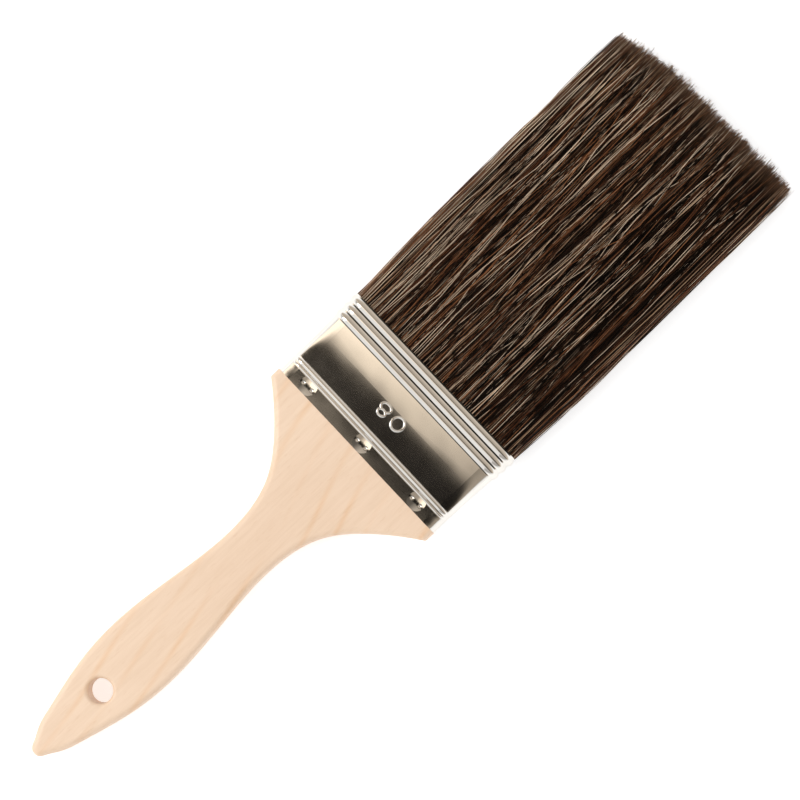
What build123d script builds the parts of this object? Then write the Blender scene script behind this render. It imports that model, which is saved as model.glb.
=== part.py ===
"""Flat paint brush: a pale wooden handle, a beaded metal ferrule and long natural hair.

All sizes are in millimetres. The brush lies flat: +X runs from the handle's tip to the hair's
tips, +Y across the width and +Z up through the thickness. The origin is under the middle of the
whole brush, on the surface that it lies on.

Every piece is drawn in a working frame whose origin is on the brush's mid-plane, at the
ferrule's handle-side edge. STAND then sets the brush in its own frame.
"""
from build123d import *

import os

# Lengths along the brush
HANDLE_LENGTH = 154.0        # the handle's tip to the ferrule's edge
FERRULE_LENGTH = 38.0
HAIR_LENGTH = 135.0          # the ferrule's mouth to the hair's tips

# Handle
BOARD_THICKNESS = 10.0
BOARD_EDGE_RADIUS = 2.2
SHOULDER_HALF_WIDTH = 39.5
SHOULDER_LAND = 4.0          # straight side of the shoulder, beside the ferrule
SHOULDER_CORNER_RADIUS = 1.0
TIP_HALF_WIDTH = 4.0         # where the side runs into the blunt tip
TIP_LENGTH = 4.3
# One side of the handle, as (distance from the ferrule, half width)
SIDE_POINTS = [
    (15.6, 25.3), (30.0, 14.0), (49.0, 9.75), (75.0, 11.6), (101.0, 14.05), (124.0, 11.9), (142.0, 7.4),
]
SHOULDER_SLOPE = (-1.0, -1.45)   # the side's direction as it leaves the shoulder
TIP_SLOPE = (-1.0, -0.62)        # and as it runs into the tip

# Hanging hole
HOLE_DISTANCE = 122.0        # from the ferrule's edge
HOLE_RADIUS = 4.4
HOLE_RIM_RADIUS = 1.5        # rounding of both rims

# Ferrule
SHEET = 0.4
HALF_FLAT = 34.2             # half of the flat middle; beyond it the section turns round
EDGE_HALF_THICKNESS = 5.185  # at the handle, where it meets the board
BAND_HALF_THICKNESS = 5.25   # where the plain band ends
MOUTH_HALF_THICKNESS = 6.2
BAND_LENGTH = 5.0
PANEL_START, PANEL_END = 8.6, 27.2
PANEL_DISH = 0.2             # hollow of the panel between the beads
MOUTH_BEADS = (29.0, 32.5, 36.0)
MOUTH_BEAD_WIDTH, MOUTH_BEAD_RISE = 2.9, 0.55
RIBS = ((5.7, 1.0, 0.3), (7.4, 2.0, 0.5))    # middle, width and rise of the two handle-side ribs
RIB_FADE = 0.8               # how far each rib's turning axis is raised, so that it sinks in at the ends
RIB_TURN = 75.0              # degrees that a rib goes round each end
SEAM_Y = 14.0                # soldered seam, on the back face only
SEAM_WIDTH, SEAM_DEPTH = 0.3, 0.2

# Staking: three pairs of prongs punched through each face into the handle
STAKE_X = 2.95
STAKE_Y = (-27.6, 0.0, 27.6)
PRONG_SPREAD = 2.0           # each side of the stake's middle
PRONG_DEPTH = 1.8
PRONG_TOP_RADIUS, PRONG_END_RADIUS = 1.1, 0.3
PIT_RADIUS, PIT_DEPTH = 0.85, 0.5   # the round pit that the punch leaves over each prong
STAKE_DISH_RADIUS, STAKE_DISH_DEPTH = 3.4, 0.25
STAKE_CLEARANCE = 0.03       # in the wood round a prong

# Raised size number, 80: a ring for the 0 and two crossing rings for the 8
DIGIT_X = 16.8
DIGIT_8_Y, DIGIT_0_Y = 3.3, -3.6
STROKE_RADIUS, STROKE_RISE = 0.5, 0.3
RING_0 = (0.0, 2.5, 2.4)     # offset along X, half length, half width of the stroke's middle line
RINGS_8 = ((-1.3, 1.15, 1.6), (1.0, 1.45, 2.15))

# Inside the ferrule
TONGUE_LENGTH = 12.0
TONGUE_HALF_THICKNESS = 4.5
RESIN_START, RESIN_END = 12.2, 18.0
RESIN_START_HALF = 4.8
FILL_START_HALF, FILL_MOUTH_HALF = 4.9, 5.7   # half thickness of what fills the ferrule, at both ends
PLUG_START, PLUG_END = 18.0, 34.0
PLUG_HALF_WIDTH = 31.0
PLUG_THICKNESS = 2.4

# Free hair
BEND_GAP = 0.3               # clear space between the fixed roots and the free hair's rounded end
HAIR_BELLY_HALF, HAIR_TIP_HALF = 6.4, 6.1
HAIR_BELLY_DISTANCE = 45.0   # from the mouth to the fullest part

# Making
OVERRUN = 1.0                # how far a cutting shape runs past what it cuts
NEAR = 0.01                  # two sizes closer than this are the same, when edges are picked

BEND_X = FERRULE_LENGTH + BEND_GAP + FILL_MOUTH_HALF   # where the free hair bends
TOTAL_LENGTH = HANDLE_LENGTH + FERRULE_LENGTH + HAIR_LENGTH


def half_thickness(x):
    """Half of the ferrule's outside thickness, before its beads and dish."""
    if x <= BAND_LENGTH:
        return EDGE_HALF_THICKNESS + (BAND_HALF_THICKNESS - EDGE_HALF_THICKNESS) * x / BAND_LENGTH
    along = (x - BAND_LENGTH) / (FERRULE_LENGTH - BAND_LENGTH)
    return BAND_HALF_THICKNESS + (MOUTH_HALF_THICKNESS - BAND_HALF_THICKNESS) * along


HALF_HEIGHT = half_thickness(MOUTH_BEADS[-1]) + MOUTH_BEAD_RISE
STAND = Pos(HANDLE_LENGTH - TOTAL_LENGTH / 2, 0, HALF_HEIGHT)


def flat_with_round_ends(line, start, end):
    """A solid from a half section: straight across the middle, turned about X at both ends."""
    closing = Polyline(line @ 1, (end, 0), (start, 0), line @ 0)
    half = Plane.XZ * make_face([line, closing])
    middle = extrude(half, HALF_FLAT, both=True)
    middle += mirror(middle, about=Plane.XY)
    turned = revolve(half, Axis.X)
    return middle + Pos(0, HALF_FLAT, 0) * turned + Pos(0, -HALF_FLAT, 0) * turned


def straight_fill(start, start_half, end, end_half):
    """A tapered block with round ends, such as fills a stretch of the ferrule."""
    return flat_with_round_ends(Line((start, start_half), (end, end_half)), start, end)


def wall_line(inset, overrun=0.0):
    """The ferrule wall's line from the handle end to the mouth, set in from the outside."""
    def spot(x, rise=0.0):
        return (x, half_thickness(x) + rise - inset)

    panel_middle = (PANEL_START + PANEL_END) / 2
    edges = [
        Polyline(spot(-overrun), spot(BAND_LENGTH), spot(PANEL_START)),
        ThreePointArc(spot(PANEL_START), spot(panel_middle, -PANEL_DISH), spot(PANEL_END)),
    ]
    x = PANEL_END
    for middle in MOUTH_BEADS:
        left, right = middle - MOUTH_BEAD_WIDTH / 2, middle + MOUTH_BEAD_WIDTH / 2
        edges.append(Line(spot(x), spot(left)))
        edges.append(ThreePointArc(spot(left), spot(middle, MOUTH_BEAD_RISE), spot(right)))
        x = right
    edges.append(Line(spot(x), spot(FERRULE_LENGTH + overrun)))
    return Wire([edge for piece in edges for edge in piece.edges()])


def on_both_faces(shape):
    """The shape and its reflection on the brush's other face."""
    return shape + mirror(shape, about=Plane.XY)


def rib(middle, width, rise):
    """A handle-side rib, across the flat and partly round each end, where it sinks into the sheet."""
    def spot(x, height):
        return (x, half_thickness(x) + height)

    left, right = middle - width / 2, middle + width / 2
    crown = ThreePointArc(spot(left, 0), spot(middle, rise), spot(right, 0))
    foot = Polyline(crown @ 1, spot(right, -SHEET / 2), spot(left, -SHEET / 2), crown @ 0)
    section = Plane.XZ * make_face([crown, foot])
    straight = extrude(section, HALF_FLAT, both=True)
    turn_axis = Axis((0, HALF_FLAT, RIB_FADE), (-1, 0, 0))
    end = revolve(Pos(0, HALF_FLAT, 0) * section, turn_axis, RIB_TURN)
    return on_both_faces(straight + end + mirror(end, about=Plane.XZ))


def prong(clearance=0.0):
    """A solid punched prong, pointing down from the sheet."""
    cone = Cone(PRONG_END_RADIUS + clearance, PRONG_TOP_RADIUS + clearance, PRONG_DEPTH + clearance)
    return Pos(0, 0, -(PRONG_DEPTH + clearance) / 2 - SHEET / 2) * cone


def pit():
    """The round pit that the punch leaves over a prong, pressed through the bottom of the dish."""
    ball = (PIT_RADIUS ** 2 + PIT_DEPTH ** 2) / (2 * PIT_DEPTH)
    return Pos(0, 0, ball - PIT_DEPTH - STAKE_DISH_DEPTH) * Sphere(ball)


def stake_dish(depth):
    """A ball that sinks to the given depth under the sheet's outside, round one stake."""
    radius = STAKE_DISH_RADIUS ** 2 / (2 * STAKE_DISH_DEPTH)
    return Pos(0, 0, radius + SHEET - depth) * Sphere(radius + SHEET)


def stake_places():
    """Where each stake is, on both faces, with Z pointing out of the sheet."""
    height = half_thickness(STAKE_X)
    front = [Pos(STAKE_X, y, height) for y in STAKE_Y]
    back = [Pos(STAKE_X, y, -height) * Rot(X=180) for y in STAKE_Y]
    return front + back


def both_prongs(shape):
    """The two prongs of a stake, side by side across the brush."""
    return Pos(0, PRONG_SPREAD, 0) * shape + Pos(0, -PRONG_SPREAD, 0) * shape


def digit_ring(y, offset, half_length, half_width):
    """The stroke of one ring of a digit, as a tube sunk in the panel so that its crown stands proud."""
    slope = half_thickness(DIGIT_X + 1) - half_thickness(DIGIT_X)
    surface = half_thickness(DIGIT_X) - PANEL_DISH
    face = Plane(origin=(DIGIT_X, y, surface), x_dir=(1, 0, slope), z_dir=(-slope, 0, 1))
    path = face * Pos(offset, 0, STROKE_RISE - STROKE_RADIUS) * Ellipse(half_length, half_width).edge()
    stroke = Plane(origin=path @ 0, z_dir=path % 0) * Circle(STROKE_RADIUS)
    return sweep(stroke, path=path)


def digits():
    """The strokes of the raised 0 and 8."""
    rings = [digit_ring(DIGIT_0_Y, *RING_0)]
    return rings + [digit_ring(DIGIT_8_Y, *ring) for ring in RINGS_8]


def seam():
    """The thin groove of the soldered seam, down the back face."""
    outer = wall_line(-OVERRUN, OVERRUN)
    inner = wall_line(SEAM_DEPTH, OVERRUN)
    sides = [Line(outer @ 0, inner @ 0), Line(outer @ 1, inner @ 1)]
    strip = Plane.XZ * make_face(Wire([*outer.edges(), *inner.edges(), *[side.edge() for side in sides]]))
    groove = extrude(strip, SEAM_WIDTH / 2, both=True)
    return Pos(0, SEAM_Y, 0) * mirror(groove, about=Plane.XY)


def make_ferrule():
    """The sheet metal band, with its beads, ribs, stakes, raised number and seam."""
    body = flat_with_round_ends(wall_line(0.0), 0, FERRULE_LENGTH)
    cavity = flat_with_round_ends(wall_line(SHEET, OVERRUN), -OVERRUN, FERRULE_LENGTH + OVERRUN)
    shell = body - cavity
    inside = flat_with_round_ends(wall_line(SHEET), 0, FERRULE_LENGTH)
    for place in stake_places():
        shell += (place * stake_dish(STAKE_DISH_DEPTH + SHEET)) & inside
        shell += place * both_prongs(prong())
        shell -= place * stake_dish(STAKE_DISH_DEPTH)
        shell -= place * both_prongs(pit())
    for middle, width, rise in RIBS:
        shell += rib(middle, width, rise) - cavity
    for ring in digits():
        shell += ring - cavity
    return shell - seam()


def handle_outline():
    """Half of the board's outline, from the ferrule's edge round to the tip."""
    points = [(-distance, half) for distance, half in SIDE_POINTS]
    land = (-SHOULDER_LAND, SHOULDER_HALF_WIDTH)
    tip_start = (-(HANDLE_LENGTH - TIP_LENGTH), TIP_HALF_WIDTH)
    side = Spline([land, *points, tip_start], tangents=[SHOULDER_SLOPE, TIP_SLOPE])
    tip = Spline([tip_start, (-HANDLE_LENGTH, 0)], tangents=[TIP_SLOPE, (0, -1)])
    return [Line((0, SHOULDER_HALF_WIDTH), land), side, tip]


def make_board():
    """The flat board, without its tongue."""
    half = handle_outline()
    other = [mirror(piece, about=Plane.XZ) for piece in half]
    end = Line((0, SHOULDER_HALF_WIDTH), (0, -SHOULDER_HALF_WIDTH))
    outline = make_face([*half, *other, end])
    corners = outline.vertices().filter_by(lambda v: abs(v.X + SHOULDER_LAND) < NEAR)
    outline = fillet(corners, SHOULDER_CORNER_RADIUS)
    board = extrude(outline, BOARD_THICKNESS / 2, both=True)
    rims = board.faces().filter_by(Axis.Z).edges().filter_by(lambda e: e.center().X < -NEAR)
    board = fillet(rims, BOARD_EDGE_RADIUS)
    board -= Pos(-HOLE_DISTANCE, 0, 0) * Cylinder(HOLE_RADIUS, BOARD_THICKNESS + OVERRUN)
    circles = board.edges().filter_by(GeomType.CIRCLE)
    hole_rims = circles.filter_by(lambda e: abs(e.radius - HOLE_RADIUS) < NEAR)
    return fillet(hole_rims, HOLE_RIM_RADIUS)


def make_handle():
    """The board with its tongue, pitted where the prongs hold it."""
    tongue = straight_fill(0, TONGUE_HALF_THICKNESS, TONGUE_LENGTH, TONGUE_HALF_THICKNESS)
    for place in stake_places():
        tongue -= place * stake_dish(STAKE_DISH_DEPTH + SHEET + STAKE_CLEARANCE)
        tongue -= place * both_prongs(prong(STAKE_CLEARANCE))
    return make_board() + tongue


def make_resin():
    """The set resin that holds the roots, behind the handle's tongue."""
    return straight_fill(RESIN_START, RESIN_START_HALF, RESIN_END, FILL_START_HALF)


def make_plug():
    """The wooden strip between the front and back hair, which leaves room for paint."""
    length = PLUG_END - PLUG_START
    block = Box(length, 2 * PLUG_HALF_WIDTH, PLUG_THICKNESS)
    return Pos(PLUG_START + length / 2, 0, 0) * block


def half_of(shape, side):
    """The front half, above the mid-plane, for side 1, or the back half for side -1."""
    reach = 2 * TOTAL_LENGTH
    return shape & Pos(0, 0, side * reach / 2) * Box(reach, reach, reach)


def make_roots(side):
    """The fixed roots of the front or back hair, inside the ferrule."""
    block = straight_fill(RESIN_END, FILL_START_HALF, FERRULE_LENGTH, FILL_MOUTH_HALF) - make_plug()
    return half_of(block, side)


def make_hair(side):
    """The free front or back hair. Its inner end is rounded about the line where it bends."""
    inner_end = (BEND_X - FILL_MOUTH_HALF, 0)
    shoulder = (BEND_X, FILL_MOUTH_HALF)
    belly = (FERRULE_LENGTH + HAIR_BELLY_DISTANCE, HAIR_BELLY_HALF)
    tips = (FERRULE_LENGTH + HAIR_LENGTH, HAIR_TIP_HALF)
    knuckle = RadiusArc(inner_end, shoulder, FILL_MOUTH_HALF)
    length = Polyline(shoulder, belly, tips)
    half = Plane.XZ * make_face([knuckle, length, Polyline(tips, (tips[0], 0), inner_end)])
    middle = extrude(half, HALF_FLAT, both=True)
    turned = revolve(half, Axis.X)
    whole = on_both_faces(middle) + Pos(0, HALF_FLAT, 0) * turned + Pos(0, -HALF_FLAT, 0) * turned
    return half_of(whole, side)


PIECES = {
    "handle": make_handle,
    "ferrule": make_ferrule,
    "setting_resin": make_resin,
    "spacer_plug": make_plug,
    "front_hair_roots": lambda: make_roots(1),
    "back_hair_roots": lambda: make_roots(-1),
    "front_hair": lambda: make_hair(1),
    "back_hair": lambda: make_hair(-1),
}

os.makedirs("parts", exist_ok=True)
for node, make in PIECES.items():
    export_step(STAND * make(), f"parts/{node}.step")
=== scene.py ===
"""Looks of the flat paint brush: camera, light, wood, plated ferrule and the separate hairs.

Metres. +X runs from the handle's tip to the hair's tips, +Y across and +Z up.
"""
import math

import bpy
import numpy as np
from mathutils import Matrix, Vector


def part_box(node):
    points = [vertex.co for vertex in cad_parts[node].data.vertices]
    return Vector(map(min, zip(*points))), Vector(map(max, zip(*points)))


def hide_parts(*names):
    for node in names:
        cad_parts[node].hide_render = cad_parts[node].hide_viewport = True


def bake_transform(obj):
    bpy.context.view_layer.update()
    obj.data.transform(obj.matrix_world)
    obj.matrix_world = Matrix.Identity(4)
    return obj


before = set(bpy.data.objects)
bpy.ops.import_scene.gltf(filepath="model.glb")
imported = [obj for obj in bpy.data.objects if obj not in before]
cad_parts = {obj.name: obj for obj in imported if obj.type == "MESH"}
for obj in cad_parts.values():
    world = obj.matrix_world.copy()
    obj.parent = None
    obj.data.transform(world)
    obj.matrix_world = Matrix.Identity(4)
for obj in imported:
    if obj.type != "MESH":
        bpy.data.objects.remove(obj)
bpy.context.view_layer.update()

MM = 0.001

# Where things are, from the frame
FERRULE_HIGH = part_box("ferrule")[1]
HAIR_LOW, HAIR_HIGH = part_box("front_hair")
ROOTS_LOW, ROOTS_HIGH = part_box("front_hair_roots")
MID_Z = HAIR_LOW.z                  # the front hair starts at the mid-plane
MOUTH_X = FERRULE_HIGH.x
TIPS_X = HAIR_HIGH.x
HALF_THICK = HAIR_HIGH.z - MID_Z
HALF_FLAT = HAIR_HIGH.y - HALF_THICK        # the bundle's sides turn round beyond this

# Camera
CAMERA_HEIGHT = 0.80
CAMERA_TILT = math.radians(5.5)     # leans towards -Y, so the near long side shows a little
CAMERA_TURN = math.radians(43.45)   # the brush's slope in the picture
VIEW_WIDTH = 0.2798                 # width of the picture at the brush
AIM = Vector((0.0137, 0.0025, MID_Z))
SENSOR_WIDTH = 36.0                 # mm

# Wood
GRAIN_TURN = math.radians(-16.0)    # between the growth lines and the brush's length
GRAIN_SPACING = 9.0 * MM
GRAIN_SWAY = 3.2                    # how far the lines wander, in spacings

# Hair, all of it
SEED = 20
SHADES = 64                         # columns of the hair's colour map
TUBE_SIDES = 3
LEAN_Y = 2.6 * MM                   # the tips lie a little to one side
LEAN_POWER = 1.2                    # more than 1, so the lean grows towards the tips
FLOOR_GAP = 0.25 * MM               # no hair's middle line lies lower

# Hair: how many, where they start and how many points each has
OUTER_PIECES, OUTER_HAIRS = 8, 1000
OUTER_START_X, OUTER_RINGS = MOUTH_X - 8 * MM, 16
INNER_HAIRS = 6000
INNER_START_X, INNER_RINGS = TIPS_X - 45 * MM, 5

# Hair: clumps
CLUMP_WIDTHS = (1.4, 4.2)           # mm
CLUMP_MARGIN = 6 * MM               # clumps go on this far past the flat middle
CLUMP_DEPTH = 0.13                  # how deep the lowest clump lies, as a share of the thickness
CLUMP_BACK = 0.9 * MM               # how unevenly the clumps' tips end
PULL = (0.2, 0.95)                  # how far a hair's tip draws towards its clump's middle

# Hair: how far hairs wander, in mm, for a calm and for a stray hair
FAN = (0.6, 5.5)                    # spreads evenly from the mouth
ARCH = (0.5, 2.2)                   # greatest halfway along
FLICK = (0.2, 1.3)                  # only near the tips
LONG_WAVE, LONG_CYCLES = (0.40, 1.3), (0.8, 2.2)
SHORT_WAVE, SHORT_CYCLES = (0.14, 0.25), (2.5, 5.0)
LIFT_WAVE, LIFT_CYCLES = (0.2, 0.5), (0.7, 2.2)

# Hair: the trimmed ends. They fall back towards +Y, and at both corners
TIP_BACK, TIP_BOW, TIP_CORNER = 0.5, 4.2, 3.2       # mm
TIP_BOW_Y = 34 * MM                 # where the bow reaches its size
CORNER_START_Y, CORNER_END_Y = 32 * MM, 42 * MM
RAGGED = 0.8 * MM                   # how uneven the ends are

# Hair: radii in mm, with what chance and paleness add
OUTER_RADIUS, OUTER_VARIES, PALE_THICKER = 0.095, 0.035, 0.035
INNER_RADIUS, INNER_VARIES = 0.12, 0.06

# Hair: the dark core, thinner and shorter than the bundle
CORE_AROUND, CORE_RINGS = 48, 24
CORE_THICKNESS, CORE_TAPER = 0.80, 0.25     # shares of the bundle's thickness
CORE_START_X, CORE_END_X = ROOTS_LOW.x + 1 * MM, TIPS_X - 16 * MM

# Hair: ends and edges
SHORT_SHARE, SHORT_BY = 0.16, 16 * MM       # some hairs end up to this much before the rest
PAST_TIPS = 0.8 * MM                # the longest hair passes the CAD's tips by this much
STRAY_SHARE = 0.20                  # hairs that cross their neighbours
STRAY_RISE = 0.06                   # how far a stray hair lies above the rest, as a share
PROUD = 0.35 * MM                   # no hair stands further off the bundle than this
EDGE_FUZZ = 1.6 * MM                # how far stray hairs stand off the two long edges
EDGE_FOLD = 0.25                    # how much of its way past an edge a hair turns back

# Hair: how pale, from 0 to 1. A high power leaves few hairs pale
PALE_POWER = 2.25
# The edge term is painted light: hairs near the two long edges come out paler, as if lit from behind. The
# side term is painted light and shade: paler towards +Y, darker towards -Y.
STRAY_PALER, EDGE_PAINTED_LIGHT, SIDE_PAINTED_LIGHT_SHADE = 0.24, 0.16, 0.06

# Stage
FLOOR_REACH = 12.0
CARD_Z = 1.25
CARD_REACH = 8.0
OVERHEAD_NEAR_X, OVERHEAD_FAR_X = -0.34, 0.30
LIGHT_SIZE = 0.9
WORLD_STRENGTH = 1.15


def smoothstep(low, high, x):
    t = np.clip((x - low) / (high - low), 0.0, 1.0)
    return t * t * (3.0 - 2.0 * t)


def new_object(name, data):
    item = bpy.data.objects.new(name, data)
    bpy.context.scene.collection.objects.link(item)
    return item


# ---------------------------------------------------------------- node helpers

def new_material(name):
    """A material, its node tree and its Principled shader."""
    material = bpy.data.materials.new(name)
    material.use_nodes = True
    return material, material.node_tree, material.node_tree.nodes["Principled BSDF"]


def feed(tree, socket, value):
    """Links another node's output to an input, or sets the input."""
    if isinstance(value, bpy.types.NodeSocket):
        tree.links.new(value, socket)
    else:
        socket.default_value = value


def fill(tree, node, inputs):
    """Links or sets several inputs of a node by name."""
    for name, value in inputs.items():
        feed(tree, node.inputs[name], value)


def add(tree, kind, inputs=None, **settings):
    """Adds a node, sets its properties, and links or sets its inputs."""
    node = tree.nodes.new(kind)
    for key, value in settings.items():
        setattr(node, key, value)
    fill(tree, node, inputs or {})
    return node


def ramp(tree, value, stops):
    """A colour ramp with (position, colour) stops."""
    node = add(tree, "ShaderNodeValToRGB", {"Fac": value})
    while len(node.color_ramp.elements) < len(stops):
        node.color_ramp.elements.new(1.0)
    for element, (position, colour) in zip(node.color_ramp.elements, stops):
        element.position = position
        element.color = (*colour, 1.0)
    return node.outputs["Color"]


def mix(tree, factor, a, b, blend="MIX"):
    """Mixes two colours, each a socket or three numbers."""
    node = add(tree, "ShaderNodeMix", data_type="RGBA", blend_type=blend)
    feed(tree, node.inputs[0], factor)
    for index, colour in ((6, a), (7, b)):      # the Mix node's colour sockets
        feed(tree, node.inputs[index], (*colour, 1.0) if isinstance(colour, tuple) else colour)
    return node.outputs[2]


def math_node(tree, operation, a, b=0.0):
    node = add(tree, "ShaderNodeMath", operation=operation)
    feed(tree, node.inputs[0], a)
    feed(tree, node.inputs[1], b)
    return node.outputs[0]


def map_range(tree, value, source=(0.0, 1.0), target=(0.0, 1.0), curve="LINEAR"):
    """Carries a number from the source range to the target range."""
    node = add(tree, "ShaderNodeMapRange", {
        "Value": value,
        "From Min": source[0],
        "From Max": source[1],
        "To Min": target[0],
        "To Max": target[1],
    }, interpolation_type=curve)
    return node.outputs[0]


def axes(tree, vector):
    """A vector's parts, by the names X, Y and Z."""
    return add(tree, "ShaderNodeSeparateXYZ", {"Vector": vector}).outputs


def object_point(tree, scale=(1, 1, 1), turn=0.0, offset=(0, 0, 0)):
    """The surface point in the brush's own frame, stretched and then turned about Z."""
    place = add(tree, "ShaderNodeTexCoord").outputs["Object"]
    mapping = add(tree, "ShaderNodeMapping", {
        "Vector": place,
        "Scale": scale,
        "Rotation": (0, 0, turn),
        "Location": offset,
    })
    return mapping.outputs["Vector"]


def noise(tree, vector, scale=1.0, detail=3.0, roughness=0.5):
    node = add(tree, "ShaderNodeTexNoise", {
        "Vector": vector,
        "Scale": scale,
        "Detail": detail,
        "Roughness": roughness,
    })
    return node.outputs["Fac"]


def bump(tree, height, strength, distance, normal=None):
    """Relief from a height, laid over another relief where one is given."""
    node = add(tree, "ShaderNodeBump", {"Height": height, "Strength": strength, "Distance": distance})
    if normal is not None:
        tree.links.new(normal, node.inputs["Normal"])
    return node.outputs["Normal"]


# ---------------------------------------------------------------- materials

def wood_noise(tree, along, across, offset=(0, 0, 0), **look):
    """Noise with the given number of features to a metre, along and across the brush."""
    return noise(tree, object_point(tree, (along, across, across), GRAIN_TURN, offset), **look)


def with_growth_lines(tree, base):
    """The base colour with slanted darker lines, which wander and fade in and out."""
    across = axes(tree, object_point(tree, turn=GRAIN_TURN))["Y"]
    sway = wood_noise(tree, 9.0, 9.0, offset=(4, 2, 0), detail=1.0)
    spacings = math_node(tree, "MULTIPLY", across, 1.0 / GRAIN_SPACING)
    swayed = math_node(tree, "ADD", spacings, math_node(tree, "MULTIPLY", sway, GRAIN_SWAY))
    from_line = math_node(tree, "PINGPONG", swayed, 0.5)
    line = ramp(tree, from_line, [
        (0.00, (0.965, 0.86, 0.74)),
        (0.05, (0.975, 0.90, 0.81)),
        (0.15, (1.0, 1.0, 1.0)),
    ])
    fade = wood_noise(tree, 22.0, 60.0, offset=(1, 7, 0), detail=1.5)
    shown = ramp(tree, fade, [(0.38, (0.0, 0.0, 0.0)), (0.62, (0.85, 0.85, 0.85))])
    return mix(tree, shown, base, mix(tree, 1.0, base, line, "MULTIPLY"))


def wood_material():
    """Pale close-grained hardwood under a thin satin varnish."""
    material, tree, shader = new_material("pale_handle_wood")
    cloud = wood_noise(tree, 14.0, 40.0, detail=2.0)
    base = ramp(tree, cloud, [(0.30, (0.752, 0.560, 0.409)), (0.70, (0.795, 0.605, 0.450))])
    fibre = wood_noise(tree, 60.0, 900.0, detail=4.0, roughness=0.6)
    grain = ramp(tree, fibre, [(0.30, (0.93, 0.90, 0.86)), (0.62, (1.0, 1.0, 1.0))])
    pores = wood_noise(tree, 260.0, 1500.0, detail=1.0)
    speck = ramp(tree, pores, [(0.26, (0.86, 0.76, 0.64)), (0.36, (1.0, 1.0, 1.0))])
    colour = mix(tree, 0.75, with_growth_lines(tree, base), grain, "MULTIPLY")
    fill(tree, shader, {
        "Base Color": mix(tree, 0.25, colour, speck, "MULTIPLY"),
        "Roughness": map_range(tree, fibre, target=(0.42, 0.54)),
        "Coat Weight": 0.10,
        "Coat Roughness": 0.30,
        "Normal": bump(tree, fibre, 0.10, 0.10 * MM),
    })
    return material


def plate_material():
    """Bright nickel plate, slightly warm, with faint rolling lines, waves and smears."""
    material, tree, shader = new_material("bright_nickel_plate")
    smear = noise(tree, object_point(tree, (40.0, 40.0, 40.0)), 1.2, roughness=0.6)
    wave = noise(tree, object_point(tree), 60.0, detail=1.0)
    rolled = noise(tree, object_point(tree, (60.0, 900.0, 900.0)), 3.0)
    relief = bump(tree, rolled, 0.012, 0.05 * MM, bump(tree, wave, 0.10, 0.6 * MM))
    fill(tree, shader, {
        "Base Color": ramp(tree, smear, [(0.30, (0.71, 0.685, 0.645)), (0.75, (0.80, 0.775, 0.735))]),
        "Metallic": 1.0,
        "Roughness": map_range(tree, smear, target=(0.05, 0.11)),
        "Normal": relief,
    })
    return material


def resin_material():
    """Amber resin with soft darker clouds."""
    material, tree, shader = new_material("amber_setting_resin")
    cloud = noise(tree, object_point(tree), 220.0)
    fill(tree, shader, {
        "Base Color": ramp(tree, cloud, [(0.3, (0.20, 0.10, 0.035)), (0.7, (0.36, 0.20, 0.08))]),
        "Roughness": 0.3,
    })
    return material


def hair_material():
    """Mixed natural hair. Each column of the colour map is a shade, from dark to pale."""
    material, tree, shader = new_material("mixed_natural_hair")
    place = axes(tree, add(tree, "ShaderNodeUVMap", uv_map="OFBake").outputs["UV"])
    column = math_node(tree, "FLOOR", math_node(tree, "MULTIPLY", place["X"], float(SHADES)))
    shade = ramp(tree, math_node(tree, "DIVIDE", column, float(SHADES)), [
        (0.00, (0.0020, 0.0010, 0.0005)),
        (0.30, (0.0070, 0.0034, 0.0016)),
        (0.46, (0.0350, 0.0145, 0.0065)),
        (0.60, (0.1400, 0.0460, 0.0170)),
        (0.72, (0.3000, 0.1300, 0.0560)),
        (0.80, (0.1800, 0.1280, 0.0880)),
        (0.90, (0.4650, 0.2980, 0.1760)),
        (1.00, (0.7300, 0.5800, 0.4350)),
    ])
    spot = add(tree, "ShaderNodeCombineXYZ", {"X": column, "Y": place["Y"]}).outputs["Vector"]
    stretch = add(tree, "ShaderNodeMapping", {"Vector": spot, "Scale": (7.3, 5.0, 1.0)})
    patch = noise(tree, stretch.outputs["Vector"], detail=2.0)
    uneven = ramp(tree, patch, [(0.32, (0.45, 0.42, 0.40)), (0.68, (1.5, 1.5, 1.5))])
    colour = mix(tree, 0.7, shade, uneven, "MULTIPLY")
    tip = map_range(tree, place["Y"], (0.93, 0.98), (0.0, 0.40), "SMOOTHSTEP")
    fill(tree, shader, {
        "Base Color": mix(tree, tip, colour, (0.26, 0.14, 0.075)),
        "Roughness": map_range(tree, patch, target=(0.34, 0.50)),
        "Specular IOR Level": 0.10,
    })
    return material


def core_material():
    """The dark depth of the bundle, which shows only between the hairs."""
    material, tree, shader = new_material("hair_depth")
    streak = noise(tree, object_point(tree, (20.0, 2200.0, 2200.0)))
    fill(tree, shader, {
        "Base Color": ramp(tree, streak, [(0.35, (0.0035, 0.0022, 0.0014)), (0.72, (0.028, 0.016, 0.010))]),
        "Roughness": 0.7,
        "Normal": bump(tree, streak, 0.6, 0.3 * MM),
    })
    return material


def finish_cad_nodes():
    """Gives the CAD's own handle, plug, ferrule and resin their materials."""
    wood = wood_material()
    looks = {
        "handle": wood,
        "spacer_plug": wood,
        "ferrule": plate_material(),
        "setting_resin": resin_material(),
    }
    for node, material in looks.items():
        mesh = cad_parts[node].data
        mesh.materials.clear()
        mesh.materials.append(material)


# ---------------------------------------------------------------- shape of the hair

def free_share(x):
    """How far out a point is along the free hair: 0 at the ferrule's mouth and 1 at the tips."""
    return np.clip((x - MOUTH_X) / (TIPS_X - MOUTH_X), 0.0, 1.0)


def half_thickness(x):
    """Half the bundle's thickness: that of the roots at the mouth, and fuller further out."""
    at_mouth = ROOTS_HIGH.z - MID_Z
    return at_mouth + (HALF_THICK - at_mouth) * smoothstep(0.0, 0.3, free_share(x))


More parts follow.
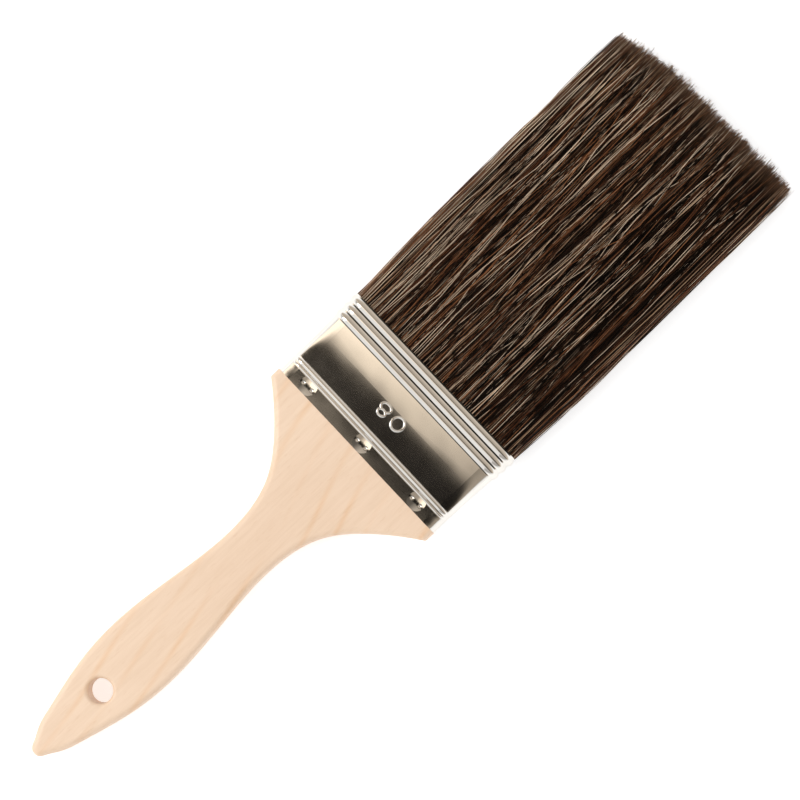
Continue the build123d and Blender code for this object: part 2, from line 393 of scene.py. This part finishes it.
def places_round(rng, count):
    """Random places round the bundle's outline: the Y of the hair's root, and the outward direction there."""
    flat, arc = 2 * HALF_FLAT, math.pi * HALF_THICK
    along = rng.uniform(0.0, 2 * (flat + arc), count)
    first = along < flat + arc
    side = np.where(first, 1.0, -1.0)
    rest = np.where(first, along, along - flat - arc)
    on_flat = rest < flat
    angle = np.where(on_flat, 0.0, (rest - flat) / HALF_THICK)
    root_y = np.where(on_flat, side * (rest - HALF_FLAT), side * HALF_FLAT)
    return root_y, np.sin(angle) * side, np.cos(angle) * side


def gathered(rng, y, side):
    """Each hair's clump: its middle, how deep it lies, and how far its tip stands back."""
    middle, low, back = y.copy(), np.zeros(len(y)), np.zeros(len(y))
    for face in (1.0, -1.0):
        centres = [-HALF_FLAT - CLUMP_MARGIN]
        while centres[-1] < HALF_FLAT + CLUMP_MARGIN:
            centres.append(centres[-1] + rng.uniform(*CLUMP_WIDTHS) * MM)
        centres = np.array(centres)
        depth = rng.uniform(0.0, CLUMP_DEPTH, len(centres))
        shorter = rng.normal(0.0, CLUMP_BACK, len(centres))
        nearest = np.abs(y[:, None] - centres[None, :]).argmin(axis=1)
        here = side * face > 0
        middle[here] = centres[nearest][here]
        low[here] = depth[nearest][here]
        back[here] = shorter[nearest][here]
    return middle, low, back


def tip_line(y):
    """How far along the trimmed ends lie, across the brush."""
    bow = TIP_BOW * (np.maximum(y, 0.0) / TIP_BOW_Y) ** 2
    corner = TIP_CORNER * smoothstep(CORNER_START_Y, CORNER_END_Y, np.abs(y))
    return TIPS_X - (TIP_BACK + bow + corner) * MM


def hair_ends(rng, root_y, back):
    """Where each hair ends: near the trimmed line, and some well before it."""
    count = len(root_y)
    end = tip_line(root_y) - back - rng.gamma(2.0, RAGGED, count)
    short = rng.random(count) < SHORT_SHARE
    end = np.where(short, end - rng.uniform(0.0, SHORT_BY, count), end)
    return np.minimum(end, TIPS_X + PAST_TIPS)


def spread(rng, stray, sizes):
    """A random size for each hair: sizes gives about how many mm for a calm hair, and for a stray one."""
    calm, loose = sizes
    return (rng.normal(0.0, 1.0, len(stray)) * np.where(stray, loose, calm) * MM)[:, None]


def wave(rng, size, cycles, out):
    """A wave along each hair, with a number of cycles from the given range. The mouth holds it still."""
    turns = rng.uniform(*cycles, len(size))[:, None]
    phase = rng.uniform(0.0, 2 * math.pi, len(size))[:, None]
    return size * np.sin(phase + 2 * math.pi * turns * out) * smoothstep(0.0, 0.25, out)


def kept_in(y):
    """Turns hairs that wander past the two long edges softly back."""
    past = np.maximum(np.abs(y) - HALF_FLAT, 0.0)
    inside = np.minimum(np.abs(y), HALF_FLAT)
    return np.sign(y) * (inside + EDGE_FUZZ * (1.0 - np.exp(-past / EDGE_FUZZ)) - EDGE_FOLD * past)


def sideways(rng, root_y, clump, stray, out):
    """The Y of every hair along its length, before its place round the outline is added."""
    pull = np.where(stray, 0.0, rng.uniform(*PULL, len(stray)))[:, None] * out ** 1.4
    y = root_y[:, None] + (clump - root_y)[:, None] * pull
    y = y + spread(rng, stray, FAN) * out ** 1.2
    y = y + spread(rng, stray, ARCH) * np.sin(math.pi * out)
    y = y + spread(rng, stray, FLICK) * out ** 4
    long_wave = wave(rng, spread(rng, stray, LONG_WAVE), LONG_CYCLES, out)
    short_wave = wave(rng, spread(rng, stray, SHORT_WAVE), SHORT_CYCLES, out)
    return kept_in(y + long_wave + short_wave)


def strand_paths(rng, count, start, rings, level):
    """Middle lines of many hairs, count x rings x 3, and how pale each hair is, from 0 to 1. Near the long
    edges and towards +Y that paleness holds painted light, and towards -Y painted shade.

    level gives each hair's place in the section, 0 at the middle and 1 at the outside.
    """
    root_y, unit_y, unit_z = places_round(rng, count)
    clump, low, back = gathered(rng, root_y, unit_z)
    end = hair_ends(rng, root_y, back)
    x = start + (end - start)[:, None] * np.linspace(0.0, 1.0, rings)[None, :]
    out = free_share(x)
    stray = rng.random(count) < STRAY_SHARE
    y = sideways(rng, root_y, clump, stray, out)
    lift = wave(rng, spread(rng, stray, LIFT_WAVE), LIFT_CYCLES, out)
    radial = (level - low + STRAY_RISE * stray)[:, None] * half_thickness(x) + lift
    radial = np.minimum(radial, half_thickness(x) + PROUD)
    y = y + unit_y[:, None] * radial + LEAN_Y * out ** LEAN_POWER
    z = np.maximum(MID_Z + unit_z[:, None] * radial, FLOOR_GAP)
    # Painted light: hairs near the two long edges are made paler, as if lit from behind.
    edge = smoothstep(0.45, 0.95, np.abs(unit_y))
    pale = rng.random(count) ** PALE_POWER + np.where(stray, STRAY_PALER, 0.0)
    # Painted light and shade across the brush: paler towards +Y, darker towards -Y.
    pale = pale + EDGE_PAINTED_LIGHT * edge + SIDE_PAINTED_LIGHT_SHADE * root_y / HALF_FLAT
    return np.stack([x, y, z], axis=2), np.clip(pale, 0.0, 0.999)


# ---------------------------------------------------------------- meshes of the hair

def tube_points(paths, radii):
    """The corners of a tapered tube round each line, ring by ring."""
    step = np.gradient(paths, axis=1)
    step /= np.linalg.norm(step, axis=2, keepdims=True)
    across = np.cross(step, np.array([0.0, 0.0, 1.0]))
    across /= np.linalg.norm(across, axis=2, keepdims=True)
    up = np.cross(across, step)
    taper = 1.0 - 0.6 * smoothstep(0.90, 1.0, np.linspace(0.0, 1.0, paths.shape[1]))
    size = (radii[:, None] * taper[None, :])[..., None]
    angles = 2 * math.pi * np.arange(TUBE_SIDES) / TUBE_SIDES + math.pi / 2
    corners = [paths + size * (math.cos(a) * across + math.sin(a) * up) for a in angles]
    return np.stack(corners, axis=2).reshape(-1, 3)


def tube_faces(count, rings):
    """The tubes' sides, four corners each, and their end caps."""
    tube = np.arange(count) * rings * TUBE_SIDES
    ring = np.arange(rings - 1) * TUBE_SIDES
    corner = np.arange(TUBE_SIDES)
    first = tube[:, None, None] + ring[None, :, None]
    a, b = first + corner, first + (corner + 1) % TUBE_SIDES
    quads = np.stack([a, a + TUBE_SIDES, b + TUBE_SIDES, b], axis=3).reshape(-1, 4)
    roots = tube[:, None] + corner[None, :]
    tips = roots + (rings - 1) * TUBE_SIDES
    return quads, np.concatenate([roots, tips[:, ::-1]])


def add_colour_map(mesh, rings, shades):
    """Adds the map that the hair's colour reads: U picks the hair's shade, and V runs along the hair."""
    vertex = np.empty(len(mesh.loops), np.int32)
    mesh.loops.foreach_get("vertex_index", vertex)
    strand = vertex // (rings * TUBE_SIDES)
    ring = (vertex // TUBE_SIDES) % rings
    u = (shades[strand] + 0.25 + 0.5 * (vertex % TUBE_SIDES) / (TUBE_SIDES - 1)) / SHADES
    v = 0.02 + 0.96 * ring / (rings - 1)
    layer = mesh.uv_layers.new(name="OFBake")
    layer.data.foreach_set("uv", np.stack([u, v], axis=1).astype(np.float32).ravel())


def tubes(name, paths, radii, shades, material):
    """One piece made of a tapered tube along each of the given middle lines."""
    count, rings, _ = paths.shape
    points = tube_points(paths, radii)
    quads, caps = tube_faces(count, rings)
    loops = np.concatenate([quads.ravel(), caps.ravel()]).astype(np.int32)
    quad_starts = 4 * np.arange(len(quads))
    cap_starts = 4 * len(quads) + TUBE_SIDES * np.arange(len(caps))
    starts = np.concatenate([quad_starts, cap_starts]).astype(np.int32)
    mesh = bpy.data.meshes.new(name)
    mesh.vertices.add(len(points))
    mesh.vertices.foreach_set("co", points.astype(np.float32).ravel())
    mesh.loops.add(len(loops))
    mesh.loops.foreach_set("vertex_index", loops)
    mesh.polygons.add(len(starts))
    mesh.polygons.foreach_set("loop_start", starts)
    mesh.update(calc_edges=True)
    mesh.validate()
    add_colour_map(mesh, rings, shades)
    mesh.polygons.foreach_set("use_smooth", np.ones(len(mesh.polygons), bool))
    mesh.materials.append(material)
    return new_object(name, mesh)


def bend_with_hair(piece):
    """Bakes the piece's placement into its mesh."""
    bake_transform(piece)


def core_ring(x, radius):
    """One outline of the core: nearly flat above and below, with round sides."""
    lean = LEAN_Y * float(free_share(x)) ** LEAN_POWER
    points = []
    for index in range(CORE_AROUND):
        angle = 2 * math.pi * (index + 0.5) / CORE_AROUND
        sine = math.sin(angle)
        flat_y = math.copysign(HALF_FLAT, sine) * abs(sine) ** 0.3
        points.append((x, flat_y + radius * sine + lean, MID_Z + radius * math.cos(angle)))
    return points


def hair_core(material):
    """The dark core of the bundle: a tapering slab, thinner and shorter than the hairs."""
    around, rings = CORE_AROUND, CORE_RINGS
    vertices, faces = [], []
    for ring in range(rings + 1):
        t = ring / rings
        x = CORE_START_X + (CORE_END_X - CORE_START_X) * t
        share = CORE_THICKNESS - CORE_TAPER * float(smoothstep(0.75, 1.0, t))
        vertices += core_ring(x, float(half_thickness(x)) * share)
    for ring in range(rings):
        here, beyond = ring * around, (ring + 1) * around
        for a in range(around):
            b = (a + 1) % around
            faces.append((here + a, here + b, beyond + b, beyond + a))
    faces.append(tuple(range(around)))
    faces.append(tuple(reversed(range(rings * around, (rings + 1) * around))))
    mesh = bpy.data.meshes.new("hair_core")
    mesh.from_pydata(vertices, [], faces)
    mesh.flip_normals()
    mesh.materials.append(material)
    piece = new_object("hair_core", mesh)
    bend_with_hair(piece)
    return piece


def outer_hairs(rng, name, material):
    """Hairs that run from inside the ferrule to the tips, most of them near the outside of the bundle."""
    level = 1.0 - np.abs(rng.normal(0.0, 0.14, OUTER_HAIRS))
    paths, pale = strand_paths(rng, OUTER_HAIRS, OUTER_START_X, OUTER_RINGS, level)
    radii = (OUTER_RADIUS + OUTER_VARIES * rng.random(OUTER_HAIRS) + PALE_THICKER * pale) * MM
    return tubes(name, paths, radii, (SHADES * pale).astype(int), material)


def inner_ends(rng, material):
    """The last stretch of the hairs inside the bundle, which shows only from the tips. Their paleness is
    squared, so they come out darker than the outer hairs: painted shade for the inside of the bundle.
    """
    level = rng.uniform(0.0, 0.85, INNER_HAIRS) ** 0.8
    paths, pale = strand_paths(rng, INNER_HAIRS, INNER_START_X, INNER_RINGS, level)
    radii = (INNER_RADIUS + INNER_VARIES * rng.random(INNER_HAIRS)) * MM
    # Painted shade: the paleness is squared, so these inner hairs come out darker.
    return tubes("hair_inner_ends", paths, radii, (SHADES * pale ** 2).astype(int), material)


def make_hair():
    rng = np.random.default_rng(SEED)
    material = hair_material()
    core = hair_core(core_material())
    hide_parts("front_hair_roots", "back_hair_roots")
    pieces = [outer_hairs(rng, f"hair_{index + 1}", material) for index in range(OUTER_PIECES)]
    pieces.append(inner_ends(rng, material))
    for piece in pieces:
        bend_with_hair(piece)
    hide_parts("front_hair", "back_hair")


# ---------------------------------------------------------------- stage

def make_camera():
    """A camera almost straight above the brush, turned so that the brush slopes up to the right."""
    data = bpy.data.cameras.new("camera")
    camera = new_object("camera", data)
    back = Vector((0.0, -math.sin(CAMERA_TILT), math.cos(CAMERA_TILT)))
    flat_right = Vector((math.cos(CAMERA_TURN), -math.sin(CAMERA_TURN), 0.0))
    up = back.cross(flat_right).normalized()
    right = up.cross(back).normalized()
    turn = Matrix((right, up, back)).transposed()
    camera.matrix_world = Matrix.Translation(AIM + back * CAMERA_HEIGHT) @ turn.to_4x4()
    data.sensor_width = SENSOR_WIDTH
    data.lens = SENSOR_WIDTH * CAMERA_HEIGHT / VIEW_WIDTH
    bpy.context.scene.camera = camera


def panel(name, corners, material):
    """A flat surface of the stage, with four corners."""
    mesh = bpy.data.meshes.new(name)
    mesh.from_pydata(corners, [], [(0, 1, 2, 3)])
    mesh.materials.append(material)
    surface = new_object(name, mesh)
    return surface


def glowing_material(name, grey, strength, glow_of=None):
    """A matt grey that gives light, white unless glow_of makes a colour for it."""
    material, tree, shader = new_material(name)
    fill(tree, shader, {
        "Base Color": (grey, grey, grey, 1.0),
        "Roughness": 0.9,
        "Specular IOR Level": 0.0,
        "Emission Color": glow_of(tree) if glow_of else (1.0, 1.0, 1.0, 1.0),
        "Emission Strength": strength,
    })
    return material


def reflection_card(name, corners, glow_of=None):
    """A glowing panel that only reflections see. It lights and shades nothing else."""
    card = panel(name, corners, glowing_material(name, 0.0, 1.0, glow_of))
    card.visible_camera = False
    card.visible_diffuse = False
    card.visible_shadow = False


def overhead_glow(tree):
    """Bright towards the handle, dark over the brush and mid-toned towards the hair. Dimmer at low Y."""
    place = axes(tree, object_point(tree))
    level = ramp(tree, map_range(tree, place["X"], (-0.5, 0.5)), [
        (0.370, (1.80, 1.54, 1.24)),
        (0.420, (0.020, 0.016, 0.011)),
        (0.512, (0.016, 0.013, 0.010)),
        (0.532, (0.48, 0.42, 0.35)),
        (0.800, (0.70, 0.62, 0.53)),
    ])
    dimming = map_range(tree, place["Y"], (-0.02, 0.24), (0.24, 1.0))
    return mix(tree, 1.0, level, dimming, "MULTIPLY")


def side_glow(tree):
    """Pale brown, darker upwards, for the sides of the beads that face the hair."""
    rise = map_range(tree, axes(tree, object_point(tree))["Z"], (0.35, 1.25))
    return mix(tree, rise, (0.80, 0.72, 0.62), (0.45, 0.38, 0.31))


def make_cards():
    """One card overhead, and one that slopes down from it at each end of the brush."""
    near, far = OVERHEAD_NEAR_X, OVERHEAD_FAR_X
    reflection_card("overhead_card", [
        (near, -CARD_REACH, CARD_Z),
        (far, -CARD_REACH, CARD_Z),
        (far, CARD_REACH, CARD_Z),
        (near, CARD_REACH, CARD_Z),
    ], overhead_glow)
    reflection_card("handle_side_card", [
        (-1.0, -0.35, 0.25),
        (near, -0.35, CARD_Z),
        (near, 0.5, CARD_Z),
        (-1.0, 0.5, 0.25),
    ])
    reflection_card("side_card", [
        (far, -CARD_REACH, CARD_Z),
        (1.2, -CARD_REACH, 0.35),
        (1.2, CARD_REACH, 0.35),
        (far, CARD_REACH, CARD_Z),
    ], side_glow)


def area_light(name, place, power, colour):
    """A soft square light that faces the middle of the brush."""
    data = bpy.data.lights.new(name, "AREA")
    data.size = LIGHT_SIZE
    data.energy = power
    data.color = colour
    light = new_object(name, data)
    light.location = place
    light.rotation_euler = (-Vector(place)).to_track_quat("-Z", "Y").to_euler()


def make_floor():
    """A pale floor that glows a little, so that it comes out nearly white and shadows stay faint."""
    reach = FLOOR_REACH
    corners = [(-reach, -reach, 0), (reach, -reach, 0), (reach, reach, 0), (-reach, reach, 0)]
    panel("floor", corners, glowing_material("pale_floor", 0.75, 0.50))


def make_world():
    """Light from all round: white from low down and overhead, and grey between, for the metal to mirror."""
    world = bpy.data.worlds.new("studio")
    bpy.context.scene.world = world
    world.use_nodes = True
    tree = world.node_tree
    height = axes(tree, add(tree, "ShaderNodeTexCoord").outputs["Generated"])["Z"]
    level = ramp(tree, height, [
        (0.15, (1.0, 1.0, 1.0)),
        (0.32, (0.42, 0.41, 0.40)),
        (0.75, (0.50, 0.49, 0.48)),
        (0.95, (1.0, 1.0, 1.0)),
    ])
    fill(tree, tree.nodes["Background"], {"Color": level, "Strength": WORLD_STRENGTH})


def make_stage():
    make_floor()
    make_world()
    make_cards()
    area_light("key", (-0.9, 0.9, 1.1), 15.0, (1.0, 0.98, 0.95))
    area_light("fill", (1.1, -0.9, 0.9), 5.0, (0.97, 0.98, 1.0))
    bpy.context.scene.view_settings.view_transform = "Standard"


make_camera()
make_stage()
finish_cad_nodes()
make_hair()
